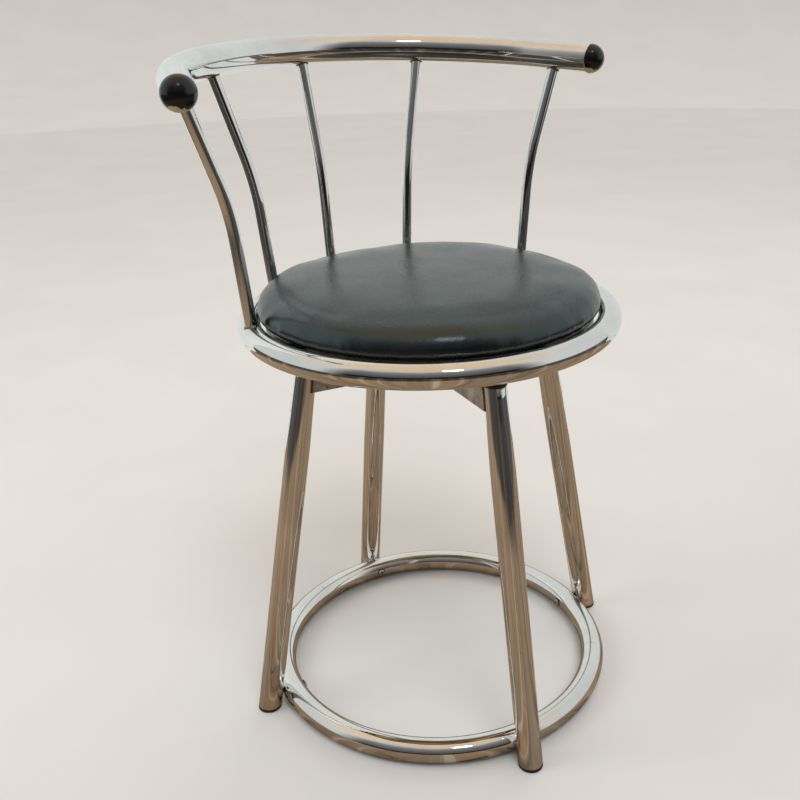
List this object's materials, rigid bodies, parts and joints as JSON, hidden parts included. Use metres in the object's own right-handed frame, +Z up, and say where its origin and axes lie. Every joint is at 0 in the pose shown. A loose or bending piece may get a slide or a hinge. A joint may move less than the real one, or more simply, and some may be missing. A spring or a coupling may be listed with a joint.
{
  "type": "swivel stool with low curved back",
  "caption": "Chromed tube swivel stool with a round padded seat, a low curved back rail on bent spindles, splayed legs and a foot ring.",
  "frame": {"origin": "on the floor, on the swivel axis under the seat's centre", "axes": "+Z up; +Y towards the back rail, so the seat faces -Y; +X to the right of someone standing in front and looking at the back"},
  "size_m": [0.523, 0.4615, 0.6985],
  "materials": {
    "chrome_tube": "bright chrome plate on steel tube, lightly worn, small rust specks",
    "black_plastic": "black moulded plastic caps and plugs",
    "black_paint": "black knobs with the colour worn off underneath",
    "zinc_steel": "dull zinc-plated folded and pressed steel",
    "fastener_steel": "plated steel screws, bolts and bearing balls",
    "brass_cage": "pressed brass ball cage",
    "plywood": "bare plywood",
    "black_vinyl": "black grained vinyl cover with a slight sheen"
  },
  "bodies": {
    "base": {"leg_1": "chrome_tube", "leg_2": "chrome_tube", "leg_3": "chrome_tube", "leg_4": "chrome_tube", "foot_plug_1": "black_plastic", "foot_plug_2": "black_plastic", "foot_plug_3": "black_plastic", "foot_plug_4": "black_plastic", "leg_cap_1": "black_plastic", "leg_cap_2": "black_plastic", "leg_cap_3": "black_plastic", "leg_cap_4": "black_plastic", "foot_ring": "chrome_tube", "ring_screw_1": "fastener_steel", "ring_screw_2": "fastener_steel", "ring_screw_3": "fastener_steel", "ring_screw_4": "fastener_steel", "cross_channel_long": "zinc_steel", "cross_channel_short_1": "zinc_steel", "cross_channel_short_2": "zinc_steel", "base_plate": "zinc_steel", "swivel_lower_plate": "zinc_steel", "lower_race": "zinc_steel", "swivel_pin": "zinc_steel", "lower_bolt_1": "fastener_steel", "lower_bolt_2": "fastener_steel", "lower_bolt_3": "fastener_steel", "lower_bolt_4": "fastener_steel"},
    "ball_set": {"ball_cage": "brass_cage", "ball_1": "fastener_steel", "ball_2": "fastener_steel", "ball_3": "fastener_steel", "ball_4": "fastener_steel", "ball_5": "fastener_steel", "ball_6": "fastener_steel", "ball_7": "fastener_steel", "ball_8": "fastener_steel"},
    "seat": {"swivel_upper_plate": "zinc_steel", "upper_race": "zinc_steel", "upper_bolt_1": "fastener_steel", "upper_bolt_2": "fastener_steel", "upper_bolt_3": "fastener_steel", "upper_bolt_4": "fastener_steel", "seat_spider": "zinc_steel", "seat_board": "plywood", "board_screw_1": "fastener_steel", "board_screw_2": "fastener_steel", "board_screw_3": "fastener_steel", "board_screw_4": "fastener_steel", "seat_ring": "chrome_tube", "seat_pad": "black_vinyl", "back_rail": "chrome_tube", "rail_knob_left": "black_paint", "rail_knob_right": "black_paint", "spindle_1": "chrome_tube", "spindle_2": "chrome_tube", "spindle_3": "chrome_tube", "spindle_4": "chrome_tube", "spindle_5": "chrome_tube"}
  },
  "joints": [
    {"name": "seat_swivel", "type": "hinge", "parent": "base", "child": "seat", "pos_m": [0, 0, 0.4034], "axis": [0, 0, 1], "continuous": true},
    {"name": "ball_orbit", "type": "hinge", "parent": "base", "child": "ball_set", "pos_m": [0, 0, 0.4034], "axis": [0, 0, 1], "continuous": true}
  ],
  "couplings": [
    {"joint": "ball_orbit", "follows": "seat_swivel", "ratio": 0.5}
  ]
}
